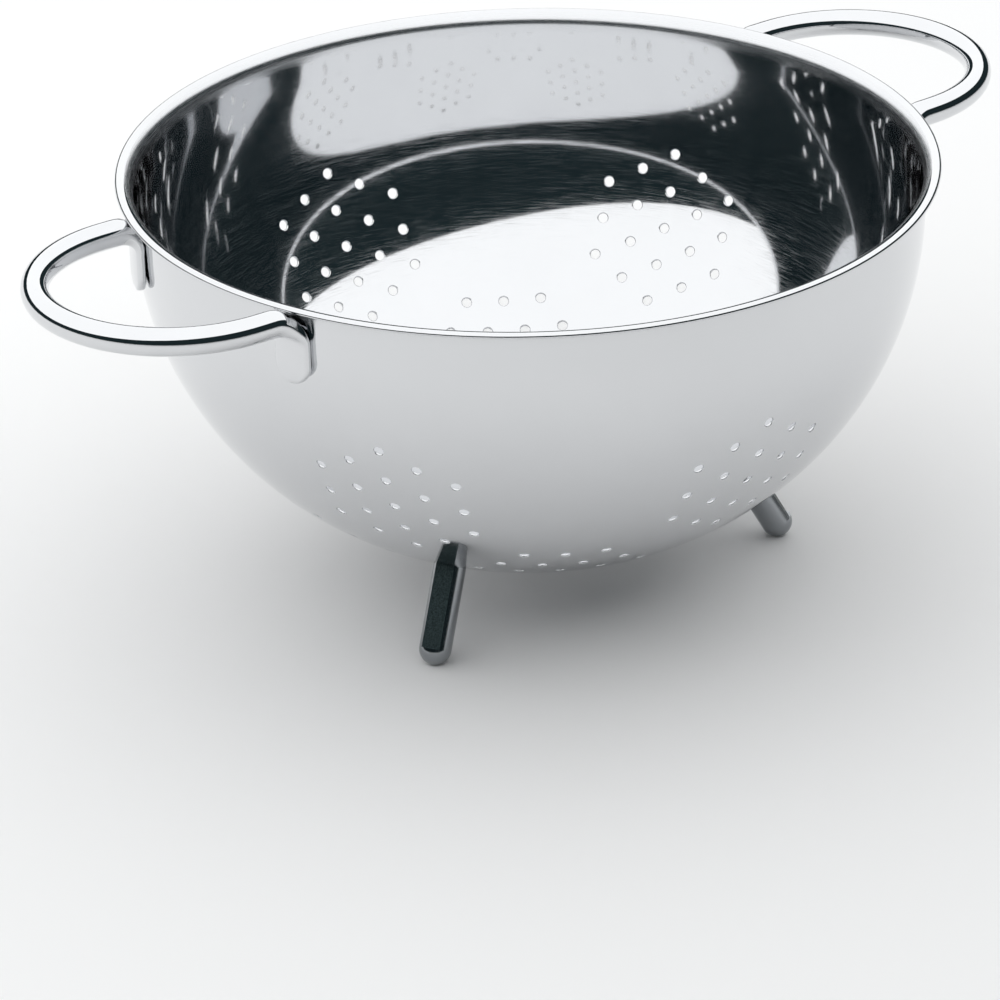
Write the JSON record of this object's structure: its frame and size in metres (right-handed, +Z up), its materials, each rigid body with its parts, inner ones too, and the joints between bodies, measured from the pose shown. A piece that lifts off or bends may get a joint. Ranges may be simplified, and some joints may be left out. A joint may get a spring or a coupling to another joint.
{
  "type": "colander",
  "caption": "Round-bottomed steel colander with clusters of round drain holes, an outward-turned lip, bent-rod side handles and round-ended pin feet.",
  "frame": {"origin": "on the bowl's axis, on the plane the feet stand on", "axes": "+Z up along the bowl's axis, +X towards one handle, so the handles lie along X"},
  "size_m": [0.33, 0.24, 0.1295],
  "materials": {
    "bowl_steel": "bright polish with a faint grain round the bowl",
    "rod_steel": "mirror polish",
    "foot_steel": "polish"
  },
  "bodies": {
    "root": {"bowl": "bowl_steel", "handle_left": "rod_steel", "handle_right": "rod_steel", "foot_1": "foot_steel", "foot_2": "foot_steel", "foot_3": "foot_steel"}
  },
  "joints": []
}
